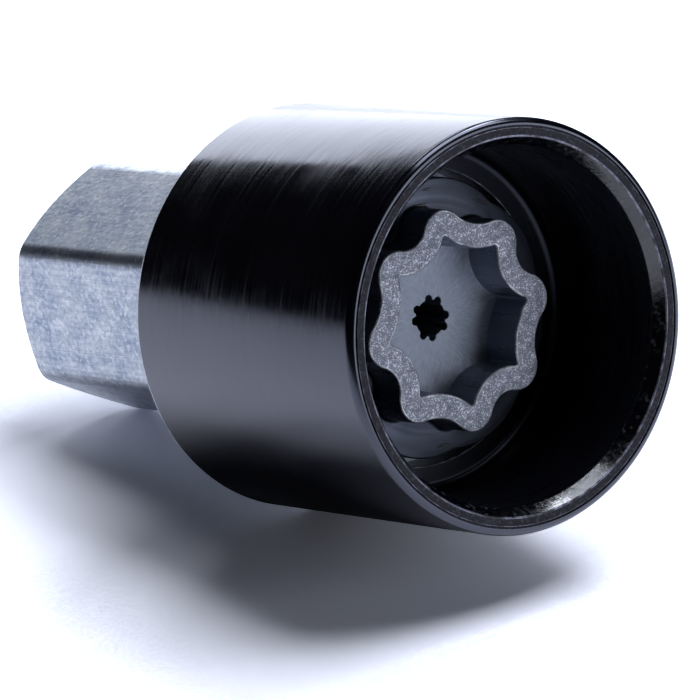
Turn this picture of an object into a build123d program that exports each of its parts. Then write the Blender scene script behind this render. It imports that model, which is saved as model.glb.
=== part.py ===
"""Key for a locking wheel nut.

A turned sleeve is pressed over a one-piece steel body. The body ends in a hexagon drive, and down
inside the sleeve's mouth its head carries a standing eight-lobe wavy ring round a coded hole.
The key stands on the end of its hexagon, with its mouth upwards and +Z along its axis.
"""

import os
from math import cos, radians, sin, tan

from build123d import *

# Hexagon drive, from its end face upwards
hex_across_flats = 19.0
hex_exposed_length = 27.8
hex_corner_radius = 1.65
hex_end_flat_radius = 8.5
hex_end_slope = 38.0
hex_end_round = 0.5

# Sleeve, with its widths counted outwards from the land that holds the body
sleeve_length = 28.9
land_radius = 12.0
shoulder_width = 2.0
bore_draft = 0.3
sleeve_wall = 2.2
shoulder_depth = 13.0
shoulder_corner_chamfer = 0.6
land_edge_chamfer = 0.12
funnel_width = 0.7
funnel_depth = 1.0
rim_bead_radius = 0.6
rim_groove_width = 0.18
rim_groove_depth = 0.14
rear_edge_chamfer = 0.25
rear_bore_chamfer = 0.4

# Seat and head of the body
press_fit_clearance = 0.0
seat_depth = 16.0
head_depth = 11.2
head_gap = 0.7
head_cusp_cut = 0.45
head_edge_chamfer = 0.15

# Wavy ring standing on the head: deep and shallow waves by turns
wave_pairs = 4
first_deep_wave = 22.5
star_corner_radius = 7.08
star_deep_radius = 5.5
star_shallow_radius = 5.88
star_corner_round = 0.2
star_floor_drop = 0.2
ring_wall = 2.0
ring_height = 3.55
ring_edge_chamfer = 0.15
ring_foot_chamfer = 0.25

# Coded hole in the middle of the head
hole_radius = 1.45
notch_radius = 0.34
notch_circle_radius = 1.5
notch_half_angle = 17.5
hole_depth = 10.0

# Heights and radii that follow from the sizes above
sleeve_rear = hex_exposed_length
mouth = sleeve_rear + sleeve_length
shoulder = mouth - shoulder_depth
seat_top = mouth - seat_depth
head_top = mouth - head_depth
ring_top = head_top + ring_height
star_floor = head_top - star_floor_drop

bore_floor_radius = land_radius + shoulder_width
bore_mouth_radius = bore_floor_radius + bore_draft
sleeve_radius = bore_mouth_radius + sleeve_wall
seat_radius = land_radius - press_fit_clearance
head_arc_radius = seat_radius - head_gap
head_cusp_radius = head_arc_radius - head_cusp_cut
wave_pitch = 360 / (2 * wave_pairs)
hex_corner_reach = hex_across_flats / 2 / cos(radians(30))
hex_slope_height = (hex_corner_reach - hex_end_flat_radius) * tan(radians(hex_end_slope))


def at_angle(radius, degrees):
    """Point at a radius and an angle round the axis."""
    return (radius * cos(radians(degrees)), radius * sin(radians(degrees)))


def wavy_outline(corner_radius, deep_radius, shallow_radius):
    """Closed outline of arcs between corners, through a deep and a shallow middle by turns."""
    for wave in range(2 * wave_pairs):
        middle = first_deep_wave + wave * wave_pitch
        middle_radius = shallow_radius if wave % 2 else deep_radius
        ThreePointArc(
            at_angle(corner_radius, middle - wave_pitch / 2),
            at_angle(middle_radius, middle),
            at_angle(corner_radius, middle + wave_pitch / 2),
        )


def circles_of(part, radius):
    """Circular edges of one radius, from the lowest to the highest."""
    circles = part.edges().filter_by(GeomType.CIRCLE)
    return circles.filter_by(lambda edge: abs(edge.radius - radius) < 1e-4).sort_by(Axis.Z)


# Sleeve: a turned tube with a land at the back and a wider, slightly tapered bore in front
with BuildPart() as sleeve:
    with BuildSketch(Plane.XZ):
        with BuildLine():
            Polyline(
                (land_radius, sleeve_rear),
                (sleeve_radius, sleeve_rear),
                (sleeve_radius, mouth),
                (bore_mouth_radius + funnel_width, mouth),
                (bore_mouth_radius, mouth - funnel_depth),
                (bore_floor_radius, shoulder),
                (land_radius, shoulder),
                close=True,
            )
        make_face()
    revolve(axis=Axis.Z)

    chamfer(circles_of(sleeve, bore_floor_radius)[0], length=shoulder_corner_chamfer)
    chamfer(circles_of(sleeve, land_radius)[-1], length=land_edge_chamfer)
    chamfer(circles_of(sleeve, land_radius)[0], length=rear_bore_chamfer)
    chamfer(circles_of(sleeve, sleeve_radius)[0], length=rear_edge_chamfer)

    # Rounded outer bead of the rim, and the groove that sets it off from the rim's face
    fillet(circles_of(sleeve, sleeve_radius)[-1], radius=rim_bead_radius)
    with BuildSketch(Plane.XY.offset(mouth)):
        Circle(sleeve_radius - rim_bead_radius)
        Circle(sleeve_radius - rim_bead_radius - rim_groove_width, mode=Mode.SUBTRACT)
    extrude(amount=-rim_groove_depth, mode=Mode.SUBTRACT)

# Body: hexagon drive, round seat, head, wavy ring and coded hole in one piece
with BuildPart() as key_body:
    with BuildSketch():
        RegularPolygon(hex_across_flats / 2, 6, major_radius=False, rotation=30)
        fillet(vertices(), radius=hex_corner_radius)
    extrude(amount=sleeve_rear)

    # Sloped end that takes the hexagon's corners off
    with BuildSketch(Plane.XZ):
        with BuildLine():
            Polyline(
                (hex_end_flat_radius, 0),
                (hex_corner_reach, 0),
                (hex_corner_reach, hex_slope_height),
                close=True,
            )
        make_face()
    revolve(axis=Axis.Z, mode=Mode.SUBTRACT)
    fillet(circles_of(key_body, hex_end_flat_radius), radius=hex_end_round)

    # Round seat held in the sleeve's land, and the scalloped head that stands clear of it
    with BuildSketch(Plane.XY.offset(sleeve_rear)):
        Circle(seat_radius)
    extrude(amount=seat_top - sleeve_rear)
    with BuildSketch(Plane.XY.offset(seat_top)):
        with BuildLine():
            wavy_outline(head_cusp_radius, head_arc_radius, head_arc_radius)
        make_face()
    extrude(amount=head_top - seat_top)
    chamfer(edges(Select.LAST).group_by(Axis.Z)[-1], length=head_edge_chamfer)

    # Wavy ring: the star's outline grown by the wall, with the star then cut out of it
    with BuildSketch(Plane.XY.offset(head_top)):
        with BuildLine():
            wavy_outline(star_corner_radius, star_deep_radius, star_shallow_radius)
        make_face()
        offset(amount=ring_wall, kind=Kind.ARC)
    extrude(amount=ring_height)
    chamfer(edges(Select.LAST).group_by(Axis.Z)[0], length=ring_foot_chamfer)
    with BuildSketch(Plane.XY.offset(star_floor)):
        with BuildLine():
            wavy_outline(star_corner_radius, star_deep_radius, star_shallow_radius)
        make_face()
        fillet(vertices(), radius=star_corner_round)
    extrude(amount=ring_top - star_floor, mode=Mode.SUBTRACT)
    chamfer(edges().group_by(Axis.Z)[-1], length=ring_edge_chamfer)

    # Coded hole: a round hole with pairs of notches in line with the shallow waves
    with BuildSketch(Plane.XY.offset(star_floor)):
        Circle(hole_radius)
        for side in (-1, 1):
            start = first_deep_wave + wave_pitch + side * notch_half_angle
            with PolarLocations(notch_circle_radius, wave_pairs, start_angle=start):
                Circle(notch_radius)
    extrude(amount=-hole_depth, mode=Mode.SUBTRACT)

sleeve.part.label = "sleeve"
key_body.part.label = "key_body"

os.makedirs("parts", exist_ok=True)
export_step(sleeve.part, "parts/sleeve.step")
export_step(key_body.part, "parts/key_body.step")
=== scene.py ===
"""Dresses the packed key for a locking wheel nut and lays it out in a small studio.

Every size is in metres, in the frame of the packed model: the key stands on its hexagon, mouth upwards.
"""

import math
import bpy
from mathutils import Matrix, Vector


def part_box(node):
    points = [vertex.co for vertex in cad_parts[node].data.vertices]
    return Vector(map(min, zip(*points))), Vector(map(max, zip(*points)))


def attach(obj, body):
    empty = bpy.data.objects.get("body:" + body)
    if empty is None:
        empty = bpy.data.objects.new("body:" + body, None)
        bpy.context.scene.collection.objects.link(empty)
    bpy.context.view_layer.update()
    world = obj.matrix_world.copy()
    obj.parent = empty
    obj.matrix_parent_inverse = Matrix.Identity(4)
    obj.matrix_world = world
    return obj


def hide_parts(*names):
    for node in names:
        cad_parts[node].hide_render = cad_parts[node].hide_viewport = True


bl_info = {
    "name": "Locking Wheel Nut Key",
    "version": (1, 0, 0),
    "blender": (4, 5, 0),
    "location": "3D View > Sidebar > Nut Key",
    "description": "Builds the finished key round its packed frame, with its metals and a small studio",
    "category": "Object",
}

import bpy
from bpy.props import FloatProperty, FloatVectorProperty, IntProperty, PointerProperty
from mathutils import Matrix, Vector

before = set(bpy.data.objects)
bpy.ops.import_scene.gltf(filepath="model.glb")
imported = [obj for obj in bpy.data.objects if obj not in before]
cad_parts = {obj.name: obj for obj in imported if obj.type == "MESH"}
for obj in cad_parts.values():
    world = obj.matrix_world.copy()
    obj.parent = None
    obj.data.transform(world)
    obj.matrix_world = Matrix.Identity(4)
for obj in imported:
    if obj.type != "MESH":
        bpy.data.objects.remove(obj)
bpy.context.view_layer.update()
SLEEVE_LOW, SLEEVE_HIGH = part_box("sleeve")
BODY_LOW, BODY_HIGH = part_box("key_body")

MM = 0.001
WAVES = 8
WAVE_PITCH = math.radians(360 / WAVES)
FIRST_WAVE = math.radians(22.5)
ARC_STEPS = 32
CORNER_STEPS = 16
LOOP_STEPS = ARC_STEPS + CORNER_STEPS
ROUND_STEPS = 8
HEX_STEPS = 360
HEAD_EDGE_STEPS = 4
FOOT_STEPS = 6
RING_EDGE_STEPS = 5
SHARP_ANGLE = math.radians(32)

# Finishes of the sleeve and of the wavy ring, in the order of their materials
GLOSS, RIM, FUNNEL, BORE, RIM_EDGE, REAR_EDGE = range(6)
FACE, WALL, FLOOR, RING_EDGE = range(4)

# Small rounds of the sleeve, and what the rim's bead leaves of its width to the groove
REAR_BORE_ROUND = 0.3 * MM
GROOVE_EDGE_ROUND = 0.05 * MM
FUNNEL_EDGE_ROUND = 0.2 * MM
FUNNEL_FOOT_ROUND = 0.25 * MM
LAND_EDGE_ROUND = 0.12 * MM
BEAD_MARGIN = 0.02 * MM

# Sloped end of the hexagon, with its rows of faces, and the rows up the flats
END_SLOPE = math.radians(38)
END_ROUND = 0.35 * MM
END_DIP = 0.25 * MM
END_ROW = 0.06 * MM
END_ROWS = 40
FLAT_ROWS = (3.0 * MM, 9.0 * MM, 15.0 * MM, 21.0 * MM)

# Head, star's floor and coded hole; the floor's round is given as (inset, rise), the notches' angles
# in degrees
HEAD_EDGE_ROUND = 0.15 * MM
FLOOR_ROUND = ((0, 0.08 * MM), (0.03 * MM, 0.02 * MM), (0.08 * MM, 0))
FLOOR_RING = 3.2 * MM
HOLE_EDGE = 0.05 * MM
NOTCH_PAIRS = 4
NOTCH_MIDDLE = 67.5
NOTCH_HALF_ANGLE = 17.5

# Burrs on the head's face: a cross-section of (share of the width, height in mm), and runs of
# (angle in degrees, radius in mm)
BURR_WIDTH = 0.13 * MM
BURR_SECTION = ((-1, -0.02), (-0.5, 0.07), (0.5, 0.07), (1, -0.02))
BURR_RUNS = (
    ((43, 10.72), (46, 10.55), (49, 10.36), (52, 10.30), (54.5, 10.16)),
    ((50, 10.36), (51, 10.52), (53, 10.58)),
    ((79, 10.40), (80.5, 10.32), (83, 10.30)),
    ((271, 10.50), (268, 10.40), (265, 10.28), (261, 10.32)),
    ((264, 10.30), (263, 10.44), (260.5, 10.50)),
    ((81, 9.22), (83, 9.14), (85.5, 9.12), (88.5, 9.20)),
)

# Painted reflection tint: the blacks tint their reflections bluish, like the room they mirror
BLUISH = (0.78, 0.82, 1.0, 1)


def length(label, text, default):
    """A size in metres that a user may change."""
    return FloatProperty(
        name=label,
        description=text,
        default=default,
        min=0,
        unit="LENGTH",
        subtype="DISTANCE",
        precision=5,
    )


def colour(label, text, default):
    """A finish's colour, in scene linear values."""
    return FloatVectorProperty(
        name=label, description=text, default=default, size=3, min=0, max=1, subtype="COLOR"
    )


def strength(label, text, default):
    """A plain number from 0 up."""
    return FloatProperty(name=label, description=text, default=default, min=0, subtype="NONE")


class SleeveSizes(bpy.types.PropertyGroup):
    """Sizes of the turned sleeve."""

    land_radius: length("Land radius", "Radius of the land that holds the body", 12.0 * MM)
    bore_floor_radius: length("Bore floor radius", "Radius of the bore at its shoulder", 14.0 * MM)
    bore_mouth_radius: length("Bore mouth radius", "Radius of the bore below the funnel", 14.3 * MM)
    shoulder_depth: length("Shoulder depth", "Depth of the shoulder below the mouth", 13.0 * MM)
    cove_round: length("Cove round", "Round in the corner of the shoulder", 0.7 * MM)
    funnel_width: length("Funnel width", "Width of the funnelled mouth", 0.7 * MM)
    funnel_depth: length("Funnel depth", "Depth of the funnelled mouth", 1.0 * MM)
    bead_round: length("Bead round", "Round of the rim's outer bead", 0.6 * MM)
    groove_width: length("Groove width", "Width of the groove behind the bead", 0.18 * MM)
    groove_depth: length("Groove depth", "Depth of the groove behind the bead", 0.14 * MM)
    rear_round: length("Rear round", "Round of the rear edge", 0.4 * MM)
    steps: IntProperty(name="Steps", description="Steps round the sleeve", default=288, min=48, max=720)


class BodySizes(bpy.types.PropertyGroup):
    """Sizes of the hexagon drive, the head and the wavy ring."""

    hex_flat: length("Hexagon", "Width across the flats of the hexagon", 19.0 * MM)
    hex_corner: length("Hexagon corner", "Round of the hexagon's corners", 1.65 * MM)
    end_flat: length("End flat", "Radius of the flat end of the hexagon", 8.5 * MM)
    seat_top: length("Seat top", "Height of the seat's front face", 40.7 * MM)
    head_top: length("Head top", "Height of the head's face", 45.5 * MM)
    head_arc: length("Head arc", "Reach of the head's arcs", 11.3 * MM)
    head_cusp: length("Head cusp", "Reach of the cusps between the head's arcs", 10.85 * MM)
    star_corner: length("Star corner", "Reach of the star's corners", 7.08 * MM)
    star_deep: length("Star deep wave", "Reach of the deep waves", 5.5 * MM)
    star_shallow: length("Star shallow wave", "Reach of the shallow waves", 5.88 * MM)
    star_round: length("Star round", "Round in the star's corners", 0.2 * MM)
    ring_wall: length("Ring wall", "Wall of the wavy ring", 2.0 * MM)
    ring_edge: length("Ring edge", "Round of the ring's edges", 0.16 * MM)
    ring_foot: length("Ring foot", "Fillet at the foot of the ring", 0.3 * MM)
    floor_drop: length("Floor drop", "How far the star's floor lies below the head's face", 0.2 * MM)
    hole: length("Hole radius", "Radius of the coded hole", 1.45 * MM)
    notch: length("Notch radius", "Radius of the notches in the coded hole", 0.34 * MM)
    notch_circle: length("Notch circle", "Radius of the circle on which the notches lie", 1.5 * MM)
    hole_depth: length("Hole depth", "Depth of the coded hole", 10.0 * MM)


class FinishColours(bpy.types.PropertyGroup):
    """Colours of the key's finishes."""

    black: colour("Gloss black", "Blackened outside of the sleeve", (0.0008, 0.0008, 0.0022))
    black_pale: colour("Gloss black, pale", "Paler clouds in the gloss black", (0.0016, 0.0016, 0.004))
    bore: colour("Bore", "Paler lines in the black bore", (0.002, 0.002, 0.004))
    # Painted glints: pale specks put into the colour of the funnel's lacquer
    funnel_glint: colour("Speck", "Specks in the funnel's lacquer", (0.05, 0.05, 0.06))
    worn_rim: colour("Worn rim", "Browned steel of the rim's face", (0.006, 0.0055, 0.0065))
    worn_rim_pale: colour("Worn rim, pale", "Paler clouds on the rim's face", (0.011, 0.010, 0.012))
    # Painted glints: sparse pale grains put into the rim's colour
    rim_glint: colour("Rim glint", "Sparse grains on the rim's face", (0.04, 0.038, 0.044))
    rim_edge: colour("Rim edge", "Edges of the rim", (0.018, 0.018, 0.024))
    # Pale spots on the rim's edges: partly rubbed wear, partly painted edge highlight
    rim_edge_bare_and_highlight: colour("Rim edge, bare", "Rubbed spots on the rim's edges", (0.40, 0.40, 0.50))
    # Pale rear edge of the black sleeve: partly worn bare steel, partly painted edge highlight
    rear_edge: colour("Rear edge", "Worn rear edge of the sleeve", (0.45, 0.46, 0.50))
    ring_edge: colour("Ring edge", "Edges of the wavy ring", (0.15, 0.16, 0.19))
    # Pale spots on the rear edge and the ring's edges: partly rubbed wear, partly painted edge highlight
    bare_edge_and_highlight: colour("Bare edge", "Edges rubbed down to bright steel", (0.95, 0.96, 1.0))
    zinc: colour("Zinc", "Plating on the hexagon", (0.60, 0.61, 0.62))
    zinc_shade: colour("Zinc shade", "Darker blue patches of the plating", (0.105, 0.165, 0.27))
    # Painted glints: sparse pale grains put into the plating's colour
    zinc_glint: colour("Zinc glint", "Sparse grains in the plating", (0.72, 0.74, 0.78))
    # Dark head: partly the milled steel's tone, partly painted shade of the sleeve's bore
    head: colour("Head", "Milled steel of the head", (0.05, 0.057, 0.074))
    head_pale: colour("Head, pale", "Paler clouds on the head", (0.076, 0.084, 0.107))
    burr: colour("Burr", "Burnt curls on the head", (0.004, 0.004, 0.006))
    burr_pale: colour("Burr, pale", "Paler grain of the curls", (0.02, 0.022, 0.028))
    blasted: colour("Blasted face", "Blasted face of the wavy ring", (0.24, 0.25, 0.285))
    blasted_shade: colour("Blasted shade", "Darker patches of the blasted face", (0.11, 0.117, 0.14))
    # Painted glints: bright grains put into the blasted face's colour
    blasted_glint: colour("Blasted glint", "Bright grains of the blasted face", (0.70, 0.71, 0.76))
    wall: colour("Wall", "Milled walls of the wavy ring", (0.30, 0.33, 0.40))
    wall_shade: colour("Wall shade", "Darker marks on the milled walls", (0.19, 0.22, 0.28))
    floor: colour("Star floor", "Turned floor inside the wavy ring", (0.235, 0.26, 0.30))
    floor_shade: colour("Floor shade", "Darker marks on the star's floor", (0.185, 0.205, 0.24))
    # Painted glints: sparse pale grains put into the floor's colour
    floor_glint: colour("Floor glint", "Sparse grains on the star's floor", (0.34, 0.37, 0.43))


class StudioSettings(bpy.types.PropertyGroup):
    """Strengths of the studio's lamps and the tone of its table."""

    key: strength("Key", "Brightness of the large screen over and behind the key", 3.1)
    top: strength("Top", "Brightness of the small screen over the mouth", 5.4)
    bead: strength("Bead", "Brightness of the screen that the rim's bead mirrors", 5.0)
    glint: strength("Glint", "Brightness of the strip that the funnel mirrors", 14.0)
    fill: strength("Fill", "Brightness of the screen in front of the mouth", 2.5)
    surroundings: strength("Surroundings", "Light from all round", 0.006)
    table: colour("Table", "Pale table on which the key lies", (0.86, 0.86, 0.90))
    mirrored_lift: strength("Mirrored lift", "How much paler the key mirrors the table", 1.9)
    table_lift: strength("Table lift", "How much paler the table looks than it lights the key", 2.0)


# Outlines and profiles


def at_angle(radius, angle):
    """Point at a radius and an angle round the axis."""
    return Vector((radius * math.cos(angle), radius * math.sin(angle)))


def wave_circle(corner, middle):
    """Radius and centre distance of the arc from corner to corner through a wave's middle."""
    half_chord = corner * math.sin(WAVE_PITCH / 2)
    rise = corner * math.cos(WAVE_PITCH / 2) - middle
    radius = (half_chord**2 + rise**2) / (2 * rise)
    return radius, middle + radius


def crossing(angle_a, circle_a, angle_b, circle_b):
    """Inner crossing of two neighbouring wave circles."""
    a = at_angle(circle_a[1], angle_a)
    b = at_angle(circle_b[1], angle_b)
    gap = b - a
    along = (circle_a[0] ** 2 - circle_b[0] ** 2 + gap.length_squared) / (2 * gap.length)
    across = math.sqrt(max(circle_a[0] ** 2 - along**2, 0))
    foot = a + gap.normalized() * along
    side = Vector((-gap.y, gap.x)).normalized() * across
    return min((foot + side, foot - side), key=lambda point: point.length)


def arc_points(centre, start, end, steps):
    """Points from start to end on the circle round a centre, without the last one."""
    first = start - centre
    last = end - centre
    turn = math.atan2(first.x * last.y - first.y * last.x, first.dot(last))
    points = []
    for step in range(steps):
        swing = turn * step / steps
        right = first.x * math.cos(swing) - first.y * math.sin(swing)
        up = first.x * math.sin(swing) + first.y * math.cos(swing)
        points.append(centre + Vector((right, up)))
    return points


def turned_corner(corners, index):
    """Points of one corner of a closed profile, with its round put in."""
    radius, height, rounding = corners[index]
    here = Vector((radius, height))
    if rounding == 0:
        return [here]
    before = (Vector(corners[index - 1][:2]) - here).normalized()
    after = (Vector(corners[(index + 1) % len(corners)][:2]) - here).normalized()
    half = before.angle(after) / 2
    centre = here + (before + after).normalized() * (rounding / math.sin(half))
    reach = rounding / math.tan(half)
    end = here + after * reach
    return arc_points(centre, here + before * reach, end, ROUND_STEPS) + [end]


def wavy_loop(body, core, grow):
    """Star outline drawn in by core and grown again by grow, deep and shallow waves by turns."""
    circles = []
    for wave in range(WAVES):
        middle = body.star_shallow if wave % 2 else body.star_deep
        radius, distance = wave_circle(body.star_corner, middle)
        circles.append((FIRST_WAVE + wave * WAVE_PITCH, (radius + core, distance)))
    loop = []
    for wave in range(WAVES):
        angle, circle = circles[wave]
        before_angle, before_circle = circles[wave - 1]
        after_angle, after_circle = circles[(wave + 1) % WAVES]
        centre = at_angle(circle[1], angle)
        start = crossing(before_angle, before_circle, angle, circle)
        end = crossing(angle, circle, after_angle, after_circle)
        before_centre = at_angle(before_circle[1], before_angle)
        corner_start = start + (before_centre - start).normalized() * grow
        arc_start = start + (centre - start).normalized() * grow
        arc_end = end + (centre - end).normalized() * grow
        loop += arc_points(start, corner_start, arc_start, CORNER_STEPS)
        loop += arc_points(centre, arc_start, arc_end, ARC_STEPS)
    return loop


def head_loop(body, inset):
    """Outline of the head: eight arcs that bulge outwards, drawn in by an inset."""
    half_chord = body.head_cusp * math.sin(WAVE_PITCH / 2)
    rise = body.head_arc - body.head_cusp * math.cos(WAVE_PITCH / 2)
    radius = (half_chord**2 + rise**2) / (2 * rise)
    distance = body.head_arc - radius
    loop = []
    for wave in range(WAVES):
        angle = FIRST_WAVE + wave * WAVE_PITCH
        centre = at_angle(distance, angle)
        reach = radius - inset
        swing = math.asin(distance * math.sin(WAVE_PITCH / 2) / reach)
        half_turn = WAVE_PITCH / 2 + swing
        for step in range(LOOP_STEPS):
            turn = angle - half_turn + 2 * half_turn * step / LOOP_STEPS
            loop.append(centre + at_angle(reach, turn))
    return loop


def hole_loop(body, directions, grow):
    """Outline of the coded hole at the given directions, grown by a little."""
    notches = []
    for pair in range(NOTCH_PAIRS):
        middle = NOTCH_MIDDLE + 360 / NOTCH_PAIRS * pair
        for side in (-1, 1):
            notches.append(math.radians(middle + NOTCH_HALF_ANGLE * side))
    loop = []
    for angle in directions:
        reach = body.hole
        for notch in notches:
            swing = abs(math.remainder(angle - notch, math.tau))
            across = body.notch_circle * math.sin(swing)
            if swing < math.pi / 2 and across < body.notch:
                beyond = math.sqrt(body.notch**2 - across**2)
                reach = max(reach, body.notch_circle * math.cos(swing) + beyond)
        loop.append(at_angle(reach + grow, angle))
    return loop


def circle_loop(directions, radius):
    """Circle at the given directions."""
    return [at_angle(radius, angle) for angle in directions]


def hex_reach(flat, rounding, angle):
    """Reach of a hexagon with rounded corners at an angle, with a flat square to +X."""
    swing = abs(math.remainder(angle, math.radians(60)))
    straight = flat / math.cos(swing)
    corner = (flat - rounding) / math.cos(math.radians(30))
    beyond = math.radians(30) - swing
    edge = (flat - rounding) * math.tan(math.radians(30))
    if flat * math.tan(swing) <= edge:
        return straight
    across = corner * math.sin(beyond)
    return corner * math.cos(beyond) + math.sqrt(max(rounding**2 - across**2, 0))


def end_reach(end_flat, height):
    """Reach of the hexagon's sloped end at a height, with a small round at its flat."""
    slope = end_flat + height / math.tan(END_SLOPE)
    if height < END_ROUND:
        slope -= END_DIP * (1 - height / END_ROUND) ** 2
    return slope


def raised(loop, height):
    """A flat loop lifted to a height."""
    return [Vector((point.x, point.y, height)) for point in loop]


def quarter_round(radius, steps):
    """Rise and inset of the points of a quarter round, from its side to its top."""
    swings = [math.radians(90 / steps * step) for step in range(steps + 1)]
    return [(radius * math.sin(swing), radius * (1 - math.cos(swing))) for swing in swings]


# Meshes


def make_piece(name, points, faces, finishes, finish_of_face):
    """Mesh piece that rides on the key's one body."""
    mesh = bpy.data.meshes.new(name)
    mesh.from_pydata([tuple(point) for point in points], [], faces)
    for finish in finishes:
        mesh.materials.append(finish)
    mesh.polygons.foreach_set("material_index", finish_of_face)
    mesh.validate()
    mesh.shade_smooth()
    mesh.set_sharp_from_angle(angle=SHARP_ANGLE)
    piece = bpy.data.objects.new(name, mesh)
    bpy.context.scene.collection.objects.link(piece)
    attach(piece, "root")
    return piece


def skin(loops, finish_of_band, cap_first=False, cap_last=False, ring=False):
    """Points, faces and finish numbers of a skin over loops of equal count."""
    count = len(loops[0])
    points = [point for loop in loops for point in loop]
    faces = []
    finishes = []
    bands = len(loops) if ring else len(loops) - 1
    for band in range(bands):
        low = band * count
        high = ((band + 1) % len(loops)) * count
        for step in range(count):
            after = (step + 1) % count
            faces.append((low + step, low + after, high + after, high + step))
            finishes.append(finish_of_band[band])
    if cap_first:
        faces.append(tuple(reversed(range(count))))
        finishes.append(finish_of_band[0])
    if cap_last:
        faces.append(tuple(range((len(loops) - 1) * count, len(loops) * count)))
        finishes.append(finish_of_band[-1])
    return points, faces, finishes


def lathe(profile, steps):
    """Loops of a closed profile of (radius, height) points turned round the axis."""
    directions = [math.tau * step / steps for step in range(steps)]
    return [raised(circle_loop(directions, point.x), point.y) for point in profile]


# Shader building


def new_material(name, **plain):
    """Material with its tree and its shader, on which plain values are set."""
    material = bpy.data.materials.new(name)
    material.use_nodes = True
    tree = material.node_tree
    shader = tree.nodes["Principled BSDF"]
    for key, value in plain.items():
        shader.inputs[key.replace("_", " ")].default_value = value
    return material, tree, shader


def add(tree, kind, **values):
    """Node of a kind, with its own settings."""
    node = tree.nodes.new(kind)
    for key, value in values.items():
        setattr(node, key, value)
    return node


def feed(tree, socket, value):
    """Link an input to another node's output, or set it to a plain value."""
    if isinstance(value, bpy.types.NodeSocket):
        tree.links.new(value, socket)
    else:
        socket.default_value = value


def maths(tree, operation, first, second=None, clamp=False):
    """Math node fed by sockets or numbers; gives its output."""
    node = add(tree, "ShaderNodeMath", operation=operation, use_clamp=clamp)
    feed(tree, node.inputs[0], first)
    if second is not None:
        feed(tree, node.inputs[1], second)
    return node.outputs[0]


def weighted(tree, *parts):
    """Sum of masks, each given with its share."""
    total = None
    for mask, share in parts:
        part = maths(tree, "MULTIPLY", mask, share)
        total = part if total is None else maths(tree, "ADD", total, part)
    return total


def ramp(tree, value, low, high, out_low=0.0, out_high=1.0):
    """Smooth change from one value to another between two limits."""
    node = add(tree, "ShaderNodeMapRange", interpolation_type="SMOOTHSTEP")
    tree.links.new(value, node.inputs["Value"])
    node.inputs["From Min"].default_value = low
    node.inputs["From Max"].default_value = high
    node.inputs["To Min"].default_value = out_low
    node.inputs["To Max"].default_value = out_high
    return node.outputs["Result"]


def blend_colours(tree, factor, first, second):
    """Mix of two colours, given as sockets or as plain colours."""
    node = add(tree, "ShaderNodeMix", data_type="RGBA")
    tree.links.new(factor, node.inputs["Factor"])
    for socket, value in ((node.inputs[6], first), (node.inputs[7], second)):
        feed(tree, socket, value if isinstance(value, bpy.types.NodeSocket) else (*value, 1))
    return node.outputs[2]


def new_group(name, inputs, outputs):
    """Node group with number inputs (name, default) and number outputs."""
    group = bpy.data.node_groups.new(name, "ShaderNodeTree")
    for label, default in inputs:
        socket = group.interface.new_socket(name=label, in_out="INPUT", socket_type="NodeSocketFloat")
        socket.default_value = default
    for label in outputs:
        group.interface.new_socket(name=label, in_out="OUTPUT", socket_type="NodeSocketFloat")
    return group, group.nodes.new("NodeGroupInput"), group.nodes.new("NodeGroupOutput")


def place_group(tree, name, **values):
    """A shared group placed in a material with its own values."""
    node = add(tree, "ShaderNodeGroup", node_tree=bpy.data.node_groups[name])
    for key, value in values.items():
        node.inputs[key.replace("_", " ").capitalize()].default_value = value
    return node


def stretched_noise(tree, vector, scale, detail, stretch=(1, 1, 1)):
    """Noise over a vector that is first stretched along each axis."""
    shape = add(tree, "ShaderNodeVectorMath", operation="MULTIPLY")
    tree.links.new(vector, shape.inputs[0])
    shape.inputs[1].default_value = stretch
    noise = add(tree, "ShaderNodeTexNoise")
    noise.inputs["Detail"].default_value = detail
    tree.links.new(shape.outputs[0], noise.inputs["Vector"])
    feed(tree, noise.inputs["Scale"], scale)
    return noise.outputs["Fac"]


def build_turned_lines():
    """Fine lines that a lathe leaves: round the axis on walls, in rings on faces."""
    group, inputs, outputs = new_group(
        "turned lines", [("Scale", 4000.0), ("Break up", 0.35)], ["Lines", "Streaks", "Rays"]
    )
    scale = inputs.outputs["Scale"]
    place = add(group, "ShaderNodeTexCoord").outputs["Object"]

    split = add(group, "ShaderNodeSeparateXYZ")
    group.links.new(place, split.inputs[0])
    across = maths(group, "MULTIPLY", split.outputs["X"], split.outputs["X"])
    along = maths(group, "MULTIPLY", split.outputs["Y"], split.outputs["Y"])
    radius = maths(group, "SQRT", maths(group, "ADD", across, along))
    join = add(group, "ShaderNodeCombineXYZ")
    group.links.new(maths(group, "ADD", radius, split.outputs["Z"]), join.inputs["X"])
    fine = stretched_noise(group, join.outputs[0], scale, 3.0, (1, 0, 0))
    broken = stretched_noise(group, place, maths(group, "MULTIPLY", scale, 0.1), 2.0)
    share = maths(group, "MULTIPLY", maths(group, "SUBTRACT", broken, 0.5), inputs.outputs["Break up"])
    group.links.new(maths(group, "ADD", fine, share), outputs.inputs["Lines"])

    long = stretched_noise(group, place, maths(group, "MULTIPLY", scale, 0.4), 3.0, (0.4, 0.4, 1))
    group.links.new(long, outputs.inputs["Streaks"])

    flat = add(group, "ShaderNodeVectorMath", operation="MULTIPLY")
    group.links.new(place, flat.inputs[0])
    flat.inputs[1].default_value = (1, 1, 0)
    heading = add(group, "ShaderNodeVectorMath", operation="NORMALIZE")
    group.links.new(flat.outputs[0], heading.inputs[0])
    slow = add(group, "ShaderNodeVectorMath", operation="SCALE")
    group.links.new(flat.outputs[0], slow.inputs[0])
    slow.inputs["Scale"].default_value = 25
    spread = add(group, "ShaderNodeVectorMath", operation="ADD")
    group.links.new(heading.outputs[0], spread.inputs[0])
    group.links.new(slow.outputs[0], spread.inputs[1])
    rays = stretched_noise(group, spread.outputs[0], maths(group, "MULTIPLY", scale, 0.02), 3.0)
    group.links.new(rays, outputs.inputs["Rays"])


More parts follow.
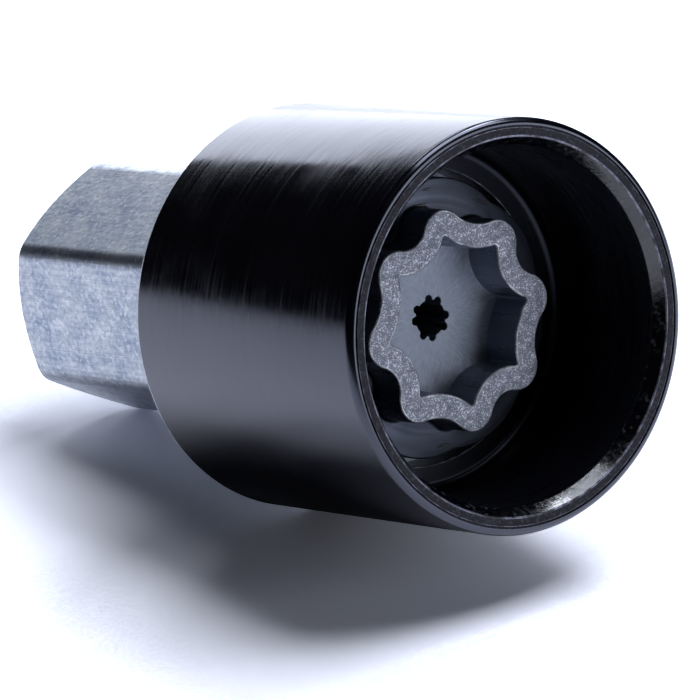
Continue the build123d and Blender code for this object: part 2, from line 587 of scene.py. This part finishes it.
def build_grain():
    """Even fine grain, as blasting, lacquer or wear leaves it, and a mask of sparse grains for painted
    glints.
    """
    group, inputs, outputs = new_group("grain", [("Scale", 3000.0), ("Sparse", 0.62)], ["Grain", "Glints"])
    scale = inputs.outputs["Scale"]
    place = add(group, "ShaderNodeTexCoord").outputs["Object"]
    group.links.new(stretched_noise(group, place, scale, 4.0), outputs.inputs["Grain"])
    cell = add(group, "ShaderNodeTexVoronoi", feature="F1")
    group.links.new(place, cell.inputs["Vector"])
    group.links.new(maths(group, "MULTIPLY", scale, 1.6), cell.inputs["Scale"])
    split = add(group, "ShaderNodeSeparateColor")
    group.links.new(cell.outputs["Color"], split.inputs[0])
    above = maths(group, "SUBTRACT", split.outputs[0], inputs.outputs["Sparse"])
    group.links.new(maths(group, "MULTIPLY", above, 4.0, clamp=True), outputs.inputs["Glints"])


def build_clouds():
    """Broad cloudy patches in a plated or handled finish."""
    group, inputs, outputs = new_group("clouds", [("Scale", 250.0), ("Contrast", 1.6)], ["Clouds"])
    place = add(group, "ShaderNodeTexCoord").outputs["Object"]
    broad = stretched_noise(group, place, inputs.outputs["Scale"], 5.0, (1, 1, 0.8))
    centred = maths(group, "MULTIPLY", maths(group, "SUBTRACT", broad, 0.5), inputs.outputs["Contrast"])
    group.links.new(maths(group, "ADD", centred, 0.5, clamp=True), outputs.inputs["Clouds"])


def finish_surface(tree, shader, tone, pattern, rough, depth, limits=(0.3, 0.7), relief=None):
    """Colour, roughness that follows a pattern between its limits, and a bump of a depth in metres."""
    tree.links.new(tone, shader.inputs["Base Color"])
    tree.links.new(ramp(tree, pattern, *limits, *rough), shader.inputs["Roughness"])
    if depth:
        bump = add(tree, "ShaderNodeBump")
        bump.inputs["Strength"].default_value = 1.0
        bump.inputs["Distance"].default_value = depth
        tree.links.new(pattern if relief is None else relief, bump.inputs["Height"])
        tree.links.new(bump.outputs["Normal"], shader.inputs["Normal"])


def gloss_black(colours):
    """Gloss black outside of the sleeve, with fine lines round it."""
    material, tree, shader = new_material("gloss_black", IOR=1.8, Specular_Tint=BLUISH)
    lines = place_group(tree, "turned lines", scale=2600, break_up=0.5)
    clouds = place_group(tree, "clouds", scale=160, contrast=1.2)
    tone = blend_colours(tree, clouds.outputs["Clouds"], colours.black, colours.black_pale)
    pattern = lines.outputs["Lines"]
    relief = weighted(tree, (lines.outputs["Streaks"], 1.0), (pattern, 0.1))
    finish_surface(tree, shader, tone, pattern, (0.10, 0.24), 0.010 * MM, (0.3, 0.75), relief)
    return material


def bore_black(colours):
    """Duller black inside the sleeve."""
    material, tree, shader = new_material("bore_black", IOR=1.38, Specular_Tint=BLUISH)
    lines = place_group(tree, "turned lines", scale=1500, break_up=0.3).outputs["Lines"]
    tone = blend_colours(tree, lines, colours.black, colours.bore)
    finish_surface(tree, shader, tone, lines, (0.24, 0.34), 0.002 * MM)
    return material


def speckled_black(colours):
    """Black lacquer with an orange-peel face, on the funnel, with painted glints as pale specks."""
    material, tree, shader = new_material("speckled_black", IOR=1.7)
    grain = place_group(tree, "grain", scale=2300, sparse=0.8)
    tone = blend_colours(tree, grain.outputs["Glints"], colours.black, colours.funnel_glint)
    finish_surface(tree, shader, tone, grain.outputs["Grain"], (0.10, 0.22), 0.014 * MM)
    return material


def worn_rim(colours):
    """Browned, slightly worn steel of the rim's face, with painted glints."""
    # Painted reflection tint: the rim tints its reflections bluish
    material, tree, shader = new_material("worn_rim", IOR=1.25, Specular_Tint=(0.80, 0.80, 1.0, 1))
    grain = place_group(tree, "grain", scale=3400, sparse=0.72)
    clouds = place_group(tree, "clouds", scale=420, contrast=2.0)
    tone = blend_colours(tree, clouds.outputs["Clouds"], colours.worn_rim, colours.worn_rim_pale)
    tone = blend_colours(tree, grain.outputs["Glints"], tone, colours.rim_glint)
    finish_surface(tree, shader, tone, grain.outputs["Grain"], (0.26, 0.42), 0.02 * MM)
    return material


def edge_wear_and_highlight(name, dull, bright):
    """Edge on which the finish is rubbed bright here and there; the pale spots are partly wear and partly a
    painted edge highlight.
    """
    material, tree, shader = new_material(name)
    clouds = place_group(tree, "clouds", scale=900, contrast=3.0)
    grain = place_group(tree, "grain", scale=5000, sparse=0.5).outputs["Grain"]
    # Mask of the pale spots: partly rubbed wear, partly painted edge highlight
    rubbed = maths(tree, "MULTIPLY", ramp(tree, clouds.outputs["Clouds"], 0.05, 1.0), grain)
    tree.links.new(ramp(tree, rubbed, 0.0, 0.6, 0.2, 0.6), shader.inputs["Metallic"])
    tone = blend_colours(tree, rubbed, dull, bright)
    finish_surface(tree, shader, tone, grain, (0.25, 0.4), 0.02 * MM)
    return material


def zinc_plate(colours):
    """Bluish zinc plating on the hexagon, mottled and slightly wavy, with painted glints."""
    material, tree, shader = new_material("zinc_plate", Metallic=0.9)
    clouds = place_group(tree, "clouds", scale=420, contrast=1.9).outputs["Clouds"]
    mottle = place_group(tree, "clouds", scale=2400, contrast=2.2).outputs["Clouds"]
    fine = place_group(tree, "grain", scale=2200, sparse=0.7)
    lines = place_group(tree, "turned lines", scale=4200, break_up=0.5)
    rays = ramp(tree, lines.outputs["Rays"], 0.35, 0.65)
    patches = weighted(tree, (clouds, 0.5), (mottle, 0.28), (rays, 0.22))
    tone = blend_colours(tree, patches, colours.zinc_shade, colours.zinc)
    glints = maths(tree, "MULTIPLY", fine.outputs["Glints"], 0.35)
    tone = blend_colours(tree, glints, tone, colours.zinc_glint)
    finish_surface(tree, shader, tone, mottle, (0.42, 0.3), 0.008 * MM, (0.2, 0.8))
    return material


def milled_head(colours):
    """Milled steel of the head, in the shade of the sleeve; its dark colour is partly painted shade."""
    material, tree, shader = new_material("milled_head", Metallic=0.9)
    lines = place_group(tree, "turned lines", scale=1800, break_up=0.6)
    clouds = place_group(tree, "clouds", scale=500, contrast=1.4)
    tone = blend_colours(tree, clouds.outputs["Clouds"], colours.head, colours.head_pale)
    finish_surface(tree, shader, tone, lines.outputs["Lines"], (0.32, 0.46), 0.004 * MM)
    return material


def burr_black(colours):
    """Dark burnt curls of metal."""
    material, tree, shader = new_material("burr_black")
    grain = place_group(tree, "grain", scale=6000, sparse=0.8).outputs["Grain"]
    tone = blend_colours(tree, grain, colours.burr, colours.burr_pale)
    finish_surface(tree, shader, tone, grain, (0.3, 0.5), 0)
    return material


def blasted_face(colours):
    """Bright blasted face of the wavy ring, with painted glints, more of them on its paler patches."""
    material, tree, shader = new_material("blasted_face", Metallic=0.9)
    grain = place_group(tree, "grain", scale=7500, sparse=0.7)
    patches = place_group(tree, "clouds", scale=1300, contrast=2.2).outputs["Clouds"]
    tone = blend_colours(tree, patches, colours.blasted_shade, colours.blasted)
    lit = ramp(tree, patches, 0.1, 0.8, 0.35, 0.9)
    glints = maths(tree, "MULTIPLY", grain.outputs["Glints"], lit)
    tone = blend_colours(tree, glints, tone, colours.blasted_glint)
    finish_surface(tree, shader, tone, grain.outputs["Grain"], (0.42, 0.6), 0.05 * MM)
    return material


def milled_wall(colours):
    """Smooth milled walls of the wavy ring."""
    material, tree, shader = new_material("milled_wall", Metallic=0.95)
    place = add(tree, "ShaderNodeTexCoord").outputs["Object"]
    marks = stretched_noise(tree, place, 2200, 2.0, (1, 1, 0.08))
    tone = blend_colours(tree, marks, colours.wall_shade, colours.wall)
    finish_surface(tree, shader, tone, marks, (0.26, 0.36), 0.004 * MM)
    return material


def turned_floor(colours):
    """Floor of the star, with fine marks that run out from the hole, and painted glints."""
    material, tree, shader = new_material("turned_floor", Metallic=0.85)
    rays = place_group(tree, "turned lines", scale=2400, break_up=0.8).outputs["Rays"]
    grain = place_group(tree, "grain", scale=5000, sparse=0.85)
    tone = blend_colours(tree, ramp(tree, rays, 0.3, 0.7), colours.floor_shade, colours.floor)
    glints = maths(tree, "MULTIPLY", grain.outputs["Glints"], 0.4)
    tone = blend_colours(tree, glints, tone, colours.floor_glint)
    finish_surface(tree, shader, tone, rays, (0.58, 0.46), 0.004 * MM)
    return material


# Operators that build the pieces


class NUTKEY_OT_effects(bpy.types.Operator):
    """Build the shared effects that the finishes use"""

    bl_idname = "nutkey.effects"
    bl_label = "Build shared effects"

    def execute(self, context):
        build_turned_lines()
        build_grain()
        build_clouds()
        return {"FINISHED"}


class NUTKEY_OT_sleeve(bpy.types.Operator):
    """Turn the sleeve, with its bead, groove, funnel, bore and shoulder"""

    bl_idname = "nutkey.sleeve"
    bl_label = "Turn the sleeve"

    def execute(self, context):
        sleeve = context.scene.nut_key_sleeve
        colours = context.scene.nut_key_colours
        low = SLEEVE_LOW.z
        mouth = SLEEVE_HIGH.z
        outside = SLEEVE_HIGH.x
        land = sleeve.land_radius
        bore = sleeve.bore_mouth_radius
        shoulder = mouth - sleeve.shoulder_depth
        groove_out = outside - sleeve.bead_round
        groove_in = groove_out - sleeve.groove_width
        groove_floor = mouth - sleeve.groove_depth
        # Each corner of the profile, with the finish of its round and of the wall that follows it
        bands = [
            ((land, low, REAR_BORE_ROUND), BORE, BORE),
            ((outside, low, sleeve.rear_round), REAR_EDGE, GLOSS),
            ((outside, mouth, sleeve.bead_round - BEAD_MARGIN), GLOSS, GLOSS),
            ((groove_out, mouth, 0), RIM, RIM),
            ((groove_out, groove_floor, 0), RIM, RIM),
            ((groove_in, groove_floor, 0), RIM, RIM),
            ((groove_in, mouth, GROOVE_EDGE_ROUND), RIM_EDGE, RIM),
            ((bore + sleeve.funnel_width, mouth, FUNNEL_EDGE_ROUND), RIM_EDGE, FUNNEL),
            ((bore, mouth - sleeve.funnel_depth, FUNNEL_FOOT_ROUND), FUNNEL, BORE),
            ((sleeve.bore_floor_radius, shoulder, sleeve.cove_round), BORE, BORE),
            ((land, shoulder, LAND_EDGE_ROUND), RIM_EDGE, BORE),
        ]
        corners = [corner for corner, round_finish, wall_finish in bands]
        profile = []
        finish_of_band = []
        for index, (corner, round_finish, wall_finish) in enumerate(bands):
            points = turned_corner(corners, index)
            profile += points
            finish_of_band += [round_finish] * (len(points) - 1) + [wall_finish]
        loops = lathe(profile, sleeve.steps)
        points, faces, finishes = skin(loops, finish_of_band, ring=True)
        materials = [
            gloss_black(colours),
            worn_rim(colours),
            speckled_black(colours),
            bore_black(colours),
            edge_wear_and_highlight("rim_edge_wear_and_highlight", colours.rim_edge, colours.rim_edge_bare_and_highlight),
            edge_wear_and_highlight("rear_edge_wear_and_highlight", colours.rear_edge, colours.bare_edge_and_highlight),
        ]
        piece = make_piece("turned_sleeve", points, faces, materials, finishes)
        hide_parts("sleeve")
        return {"FINISHED"}


class NUTKEY_OT_hexagon(bpy.types.Operator):
    """Forge the hexagon drive with its sloped end, and the seat behind the head"""

    bl_idname = "nutkey.hexagon"
    bl_label = "Forge the hexagon"

    def execute(self, context):
        body = context.scene.nut_key_body
        land = context.scene.nut_key_sleeve.land_radius
        directions = [math.tau * step / HEX_STEPS for step in range(HEX_STEPS)]
        heights = [BODY_LOW.z + END_ROW * step for step in range(END_ROWS)]
        heights += [*FLAT_ROWS, SLEEVE_LOW.z]
        loops = [raised(circle_loop(directions, body.end_flat - END_DIP), 0)]
        for height in heights:
            sloped = end_reach(body.end_flat, height)
            loop = []
            for angle in directions:
                reach = min(hex_reach(body.hex_flat / 2, body.hex_corner, angle), sloped)
                loop.append(at_angle(reach, angle))
            loops.append(raised(loop, height))
        loops += lathe([Vector((land, SLEEVE_LOW.z)), Vector((land, body.seat_top))], HEX_STEPS)
        points, faces, finishes = skin(loops, [0] * len(loops), cap_first=True, cap_last=True)
        materials = [zinc_plate(context.scene.nut_key_colours)]
        piece = make_piece("hexagon_drive", points, faces, materials, finishes)
        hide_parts("key_body")
        return {"FINISHED"}


class NUTKEY_OT_head(bpy.types.Operator):
    """Mill the head, the wavy ring that stands on it, and the star's floor with the coded hole"""

    bl_idname = "nutkey.head"
    bl_label = "Mill the head and wavy ring"

    def execute(self, context):
        body = context.scene.nut_key_body
        colours = context.scene.nut_key_colours
        self.mill_head(body, colours)
        self.curl_burrs(body, colours)
        self.mill_ring(body, colours)
        return {"FINISHED"}

    def mill_head(self, body, colours):
        """Scalloped head, with the fillet up to the ring's wall."""
        face = body.head_top
        loops = [raised(head_loop(body, 0), body.seat_top)]
        for rise, inset in quarter_round(HEAD_EDGE_ROUND, HEAD_EDGE_STEPS):
            loops.append(raised(head_loop(body, inset), face - HEAD_EDGE_ROUND + rise))
        for rise, inset in quarter_round(body.ring_foot, FOOT_STEPS):
            grow = body.ring_wall + body.ring_foot - rise
            loops.append(raised(wavy_loop(body, 0, grow), face + inset))
        points, faces, finishes = skin(loops, [0] * len(loops), cap_first=True)
        make_piece("scalloped_head", points, faces, [milled_head(colours)], finishes)

    def curl_burrs(self, body, colours):
        """Small dark curls of metal that the cutter left on the head's face."""
        finish = burr_black(colours)
        for number, run in enumerate(BURR_RUNS, 1):
            centres = [at_angle(radius * MM, math.radians(angle)) for angle, radius in run]
            last = len(centres) - 1
            points = []
            for index, centre in enumerate(centres):
                ahead = centres[min(index + 1, last)] - centres[max(index - 1, 0)]
                across = Vector((-ahead.y, ahead.x)).normalized()
                width = BURR_WIDTH * math.sin(math.pi * (index + 0.4) / (last + 0.8))
                for offset, height in BURR_SECTION:
                    place = centre + across * width * offset
                    points.append(Vector((place.x, place.y, body.head_top + height * MM)))
            row = len(BURR_SECTION)
            faces = []
            for index in range(last):
                for first in range(index * row, index * row + row - 1):
                    faces.append((first, first + row, first + row + 1, first + 1))
            make_piece(f"burr_{number}", points, faces, [finish], [0] * len(faces))

    def mill_ring(self, body, colours):
        """Wavy ring, from its outer wall over its face and down to the star's floor and hole."""
        wall = body.ring_wall
        core = body.star_round
        low_edge = BODY_HIGH.z - body.ring_edge
        floor = body.head_top - body.floor_drop
        rounds = quarter_round(body.ring_edge, RING_EDGE_STEPS)

        ring = [(wavy_loop(body, 0, wall), body.head_top, WALL), (wavy_loop(body, 0, wall), low_edge, FACE)]
        for rise, inset in rounds[1:]:
            ring.append((wavy_loop(body, 0, wall - inset), low_edge + rise, RING_EDGE))
        ring[-1] = (*ring[-1][:2], FACE)
        for rise, inset in reversed(rounds):
            ring.append((wavy_loop(body, core, core + inset), low_edge + rise, RING_EDGE))
        ring[-1] = (*ring[-1][:2], WALL)
        for inset, rise in FLOOR_ROUND:
            ring.append((wavy_loop(body, core, core - inset), floor + rise, FLOOR))
        directions = [math.atan2(point.y, point.x) for point in ring[-1][0]]
        ring.append((circle_loop(directions, FLOOR_RING), floor, FLOOR))
        ring.append((hole_loop(body, directions, HOLE_EDGE), floor, FLOOR))
        ring.append((hole_loop(body, directions, 0), floor - HOLE_EDGE, WALL))
        ring.append((hole_loop(body, directions, 0), floor - body.hole_depth, WALL))

        loops = [raised(loop, height) for loop, height, finish in ring]
        points, faces, finishes = skin(loops, [finish for loop, height, finish in ring], cap_last=True)
        materials = [
            blasted_face(colours),
            milled_wall(colours),
            turned_floor(colours),
            edge_wear_and_highlight("ring_edge_wear_and_highlight", colours.ring_edge, colours.bare_edge_and_highlight),
        ]
        make_piece("wavy_ring", points, faces, materials, finishes)


# Studio

CAMERA_PLACE = Vector((-0.319156, 0.113548, 0.488841))
CAMERA_RIGHT = Vector((0.78602287, -0.16950082, 0.59450611))
CAMERA_UP = Vector((0.25824353, 0.96377797, -0.06665055))
CAMERA_BACK = Vector((-0.56167457, 0.20591622, 0.80132402))
CAMERA_LENS = 360
CAMERA_SENSOR = 36
# The key lies on the sleeve's rear edge and on a corner of the hexagon's end, so its mouth is lifted
TABLE_AZIMUTH = math.radians(89)
TABLE_TILT = math.radians(12.5)
TABLE_NORMAL = Vector(
    (
        math.cos(TABLE_AZIMUTH) * math.cos(TABLE_TILT),
        math.sin(TABLE_AZIMUTH) * math.cos(TABLE_TILT),
        math.sin(TABLE_TILT),
    )
)
TABLE_REACH = 3.0
TABLE_GAP = 0.02 * MM
# Painted shadow in mirrored rays: distances from the rear edge between which the table grows paler for
# mirrored rays
PAINTED_SHADOW_CORE = 12 * MM
PAINTED_SHADOW_EDGE = 24 * MM
WORLD_WHITE = (0.93, 0.95, 1.0, 1)
WORLD_LEVEL = 1.1
LAMP_COLOUR = (0.84, 0.89, 1.0)
LAMP_TARGET = Vector((0, 0, 0.042))
# Setting of the brightness, direction from the target, distance, width, height and way up
LAMPS = (
    ("key", (-0.25, 0.444, 0.972), 0.6, 0.38, 0.485, (0, 1, 0)),
    ("top", (0.36, 0.93, -0.24), 0.5, 0.34, 0.32, (0, 1, 0)),
    ("bead", (-0.2, 0.9, 0.38), 0.5, 0.21, 0.12, (0, 1, 0)),
    ("glint", (0.29, 0.94, 0.16), 0.5, 0.06, 0.20, (0, 0, 1)),
    ("fill", (0.92, -0.06, -0.36), 0.6, 0.40, 0.44, (0, 1, 0)),
)


def from_view(right, up, away):
    """Direction given as the camera sees it: right, up and away from the camera."""
    return (CAMERA_RIGHT * right + CAMERA_UP * up - CAMERA_BACK * away).normalized()


def facing(side, top, back, place):
    """Placement of a camera or a lamp by its own three axes."""
    rows = [(side[axis], top[axis], back[axis], place[axis]) for axis in range(3)]
    return Matrix([*rows, (0, 0, 0, 1)])


def add_screen(name, place, width, height, radiance, up):
    """Flat lamp that faces the key, of an even brightness."""
    lamp = bpy.data.lights.new(name, "AREA")
    lamp.shape = "RECTANGLE"
    lamp.size = width
    lamp.size_y = height
    lamp.energy = radiance * math.pi * width * height
    lamp.color = LAMP_COLOUR
    screen = bpy.data.objects.new(name, lamp)
    back = (place - LAMP_TARGET).normalized()
    side = up.cross(back).normalized()
    screen.matrix_world = facing(side, back.cross(side), back, place)
    screen.visible_camera = False
    bpy.context.scene.collection.objects.link(screen)


def looked_at(tree):
    """Light path node, and whether a ray comes from the camera, straight or through a clear face."""
    path = add(tree, "ShaderNodeLightPath")
    return path, maths(tree, "MAXIMUM", path.outputs["Is Camera Ray"], path.outputs["Is Transmission Ray"])


class NUTKEY_OT_studio(bpy.types.Operator):
    """Set up the table, the lamps, the surroundings and the camera"""

    bl_idname = "nutkey.studio"
    bl_label = "Set up the studio"

    def execute(self, context):
        scene = context.scene
        studio = scene.nut_key_studio
        scene.view_settings.view_transform = "Standard"
        self.place_camera(scene)
        self.lay_table(scene, studio)
        for setting, direction, distance, width, height, up in LAMPS:
            place = LAMP_TARGET + from_view(*direction) * distance
            radiance = getattr(studio, setting)
            add_screen(f"{setting}_screen", place, width, height, radiance, from_view(*up))
        self.light_world(scene, studio)
        return {"FINISHED"}

    def place_camera(self, scene):
        """Long-lens camera over the key's mouth."""
        camera = bpy.data.cameras.new("camera")
        camera.lens = CAMERA_LENS
        camera.sensor_width = CAMERA_SENSOR
        camera.clip_start = 0.05
        camera.clip_end = 20
        holder = bpy.data.objects.new("camera", camera)
        holder.matrix_world = facing(CAMERA_RIGHT, CAMERA_UP, CAMERA_BACK, CAMERA_PLACE)
        scene.collection.objects.link(holder)
        scene.camera = holder

    def lay_table(self, scene, studio):
        """Pale table under the sleeve's side, seen through from behind, with a painted shadow near the rear
        edge that only mirrored rays see.
        """
        side = Vector((0, 0, 1)).cross(TABLE_NORMAL).normalized()
        ahead = TABLE_NORMAL.cross(side)
        rear_edge = at_angle(-SLEEVE_HIGH.x, TABLE_AZIMUTH).to_3d() + Vector((0, 0, SLEEVE_LOW.z))
        centre = rear_edge - TABLE_NORMAL * TABLE_GAP
        corners = []
        for across, along in ((-1, -1), (1, -1), (1, 1), (-1, 1)):
            corners.append(centre + (side * across + ahead * along) * TABLE_REACH)
        mesh = bpy.data.meshes.new("table")
        mesh.from_pydata([tuple(corner) for corner in corners], [], [(0, 1, 2, 3)])
        if mesh.polygons[0].normal.dot(TABLE_NORMAL) < 0:
            mesh.flip_normals()
        table = bpy.data.objects.new("table", mesh)
        scene.collection.objects.link(table)
        material, tree, shader = new_material("pale_table")
        output = tree.nodes["Material Output"]
        tree.nodes.remove(shader)
        matt = add(tree, "ShaderNodeBsdfDiffuse")
        path, seen = looked_at(tree)
        spot = add(tree, "ShaderNodeTexCoord").outputs["Object"]
        weave = stretched_noise(tree, spot, 3600, 3.0)
        away = add(tree, "ShaderNodeVectorMath", operation="DISTANCE")
        tree.links.new(spot, away.inputs[0])
        away.inputs[1].default_value = rear_edge
        # Painted shadow: for mirrored rays the table's lift falls to a tenth near the rear edge
        outside_painted_shadow = ramp(tree, away.outputs["Value"], PAINTED_SHADOW_CORE, PAINTED_SHADOW_EDGE, 0.1, 1.0)
        lit = maths(tree, "MULTIPLY", seen, studio.table_lift - 1)
        mirrored = maths(tree, "SUBTRACT", maths(tree, "MULTIPLY", outside_painted_shadow, studio.mirrored_lift), 1)
        mirrored = maths(tree, "MULTIPLY", path.outputs["Is Glossy Ray"], mirrored)
        lift = maths(tree, "ADD", maths(tree, "ADD", lit, mirrored), 1)
        lift = maths(tree, "MULTIPLY", lift, ramp(tree, weave, 0.38, 0.62, 0.93, 1.07))
        tone = add(tree, "ShaderNodeVectorMath", operation="SCALE")
        tone.inputs[0].default_value = tuple(studio.table)
        tree.links.new(lift, tone.inputs["Scale"])
        tree.links.new(tone.outputs[0], matt.inputs["Color"])
        clear = add(tree, "ShaderNodeBsdfTransparent")
        side_seen = add(tree, "ShaderNodeNewGeometry")
        choice = add(tree, "ShaderNodeMixShader")
        tree.links.new(side_seen.outputs["Backfacing"], choice.inputs[0])
        tree.links.new(matt.outputs[0], choice.inputs[1])
        tree.links.new(clear.outputs[0], choice.inputs[2])
        tree.links.new(choice.outputs[0], output.inputs["Surface"])
        mesh.materials.append(material)

    def light_world(self, scene, studio):
        """White surroundings to look at, and a darker room that lights the key."""
        world = bpy.data.worlds.new("studio")
        world.use_nodes = True
        scene.world = world
        tree = world.node_tree
        background = tree.nodes["Background"]
        background.inputs["Color"].default_value = WORLD_WHITE
        level = add(tree, "ShaderNodeMapRange")
        tree.links.new(looked_at(tree)[1], level.inputs["Value"])
        level.inputs["To Min"].default_value = studio.surroundings
        level.inputs["To Max"].default_value = WORLD_LEVEL
        tree.links.new(level.outputs["Result"], background.inputs["Strength"])


class NUTKEY_PT_panel(bpy.types.Panel):
    """Lists the steps that build the key"""

    bl_idname = "NUTKEY_PT_panel"
    bl_label = "Locking wheel nut key"
    bl_space_type = "VIEW_3D"
    bl_region_type = "UI"
    bl_category = "Nut Key"

    def draw(self, context):
        for step in STEPS:
            self.layout.operator(step.bl_idname)
        for group in GROUPS:
            box = self.layout.box()
            box.label(text=GROUPS[group].__doc__)
            for name in GROUPS[group].__annotations__:
                box.prop(getattr(context.scene, group), name)


GROUPS = {
    "nut_key_sleeve": SleeveSizes,
    "nut_key_body": BodySizes,
    "nut_key_colours": FinishColours,
    "nut_key_studio": StudioSettings,
}
STEPS = (NUTKEY_OT_effects, NUTKEY_OT_sleeve, NUTKEY_OT_hexagon, NUTKEY_OT_head, NUTKEY_OT_studio)


def register():
    """Register the settings, the steps and the panel."""
    for name, group in GROUPS.items():
        bpy.utils.register_class(group)
        setattr(bpy.types.Scene, name, PointerProperty(type=group))
    for step in STEPS:
        bpy.utils.register_class(step)
    bpy.utils.register_class(NUTKEY_PT_panel)


def unregister():
    """Take the settings, the steps and the panel away again."""
    bpy.utils.unregister_class(NUTKEY_PT_panel)
    for step in reversed(STEPS):
        bpy.utils.unregister_class(step)
    for name, group in GROUPS.items():
        delattr(bpy.types.Scene, name)
        bpy.utils.unregister_class(group)


def main():
    """Build the key and its studio."""
    register()
    bpy.ops.nutkey.effects()
    bpy.ops.nutkey.sleeve()
    bpy.ops.nutkey.hexagon()
    bpy.ops.nutkey.head()
    bpy.ops.nutkey.studio()


if __name__ == "__main__":
    main()
